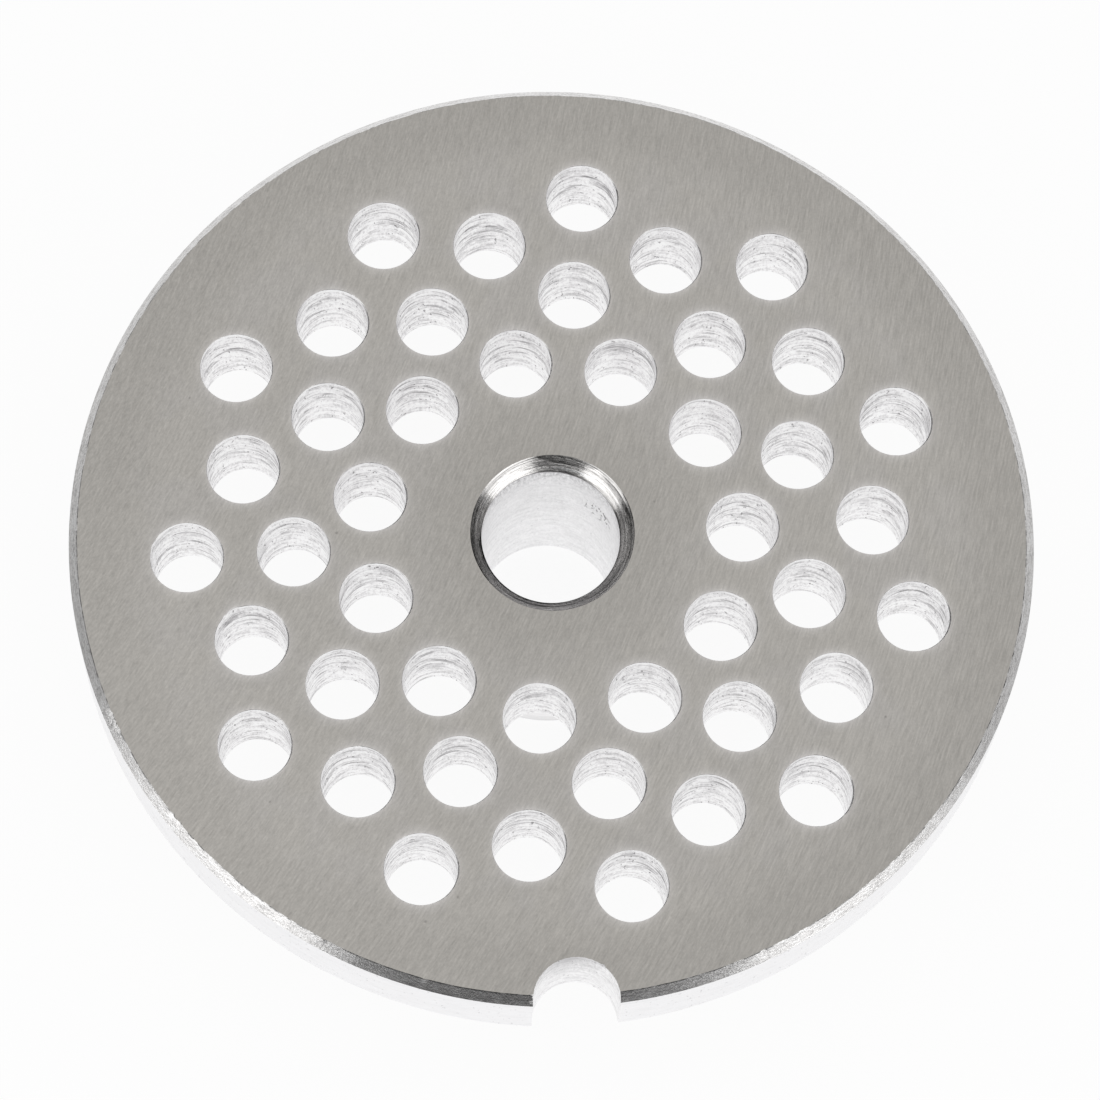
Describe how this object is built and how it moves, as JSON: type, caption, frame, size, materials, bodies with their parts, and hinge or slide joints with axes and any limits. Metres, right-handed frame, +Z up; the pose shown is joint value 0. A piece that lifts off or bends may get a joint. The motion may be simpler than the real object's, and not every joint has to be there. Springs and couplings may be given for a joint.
{
  "type": "meat grinder plate",
  "caption": "Round steel grinder plate drilled with staggered rings of feed holes, with a countersunk centre bore, a key notch in its rim and a hub on its back.",
  "frame": {"origin": "on the axis of the rim, in the end face of the hub, which the plate stands on", "axes": "+Z up out of the cutting face, -Y through the middle of the key notch, +X to the right of the notch seen from above"},
  "size_m": [0.082, 0.0818, 0.0215],
  "materials": {
    "ground_steel": "surface-ground cutting face with fine slanting grind lines and small pits, turned rim, hub, bore and chamfers"
  },
  "bodies": {
    "root": {"grinder_plate": "ground_steel"}
  },
  "joints": []
}
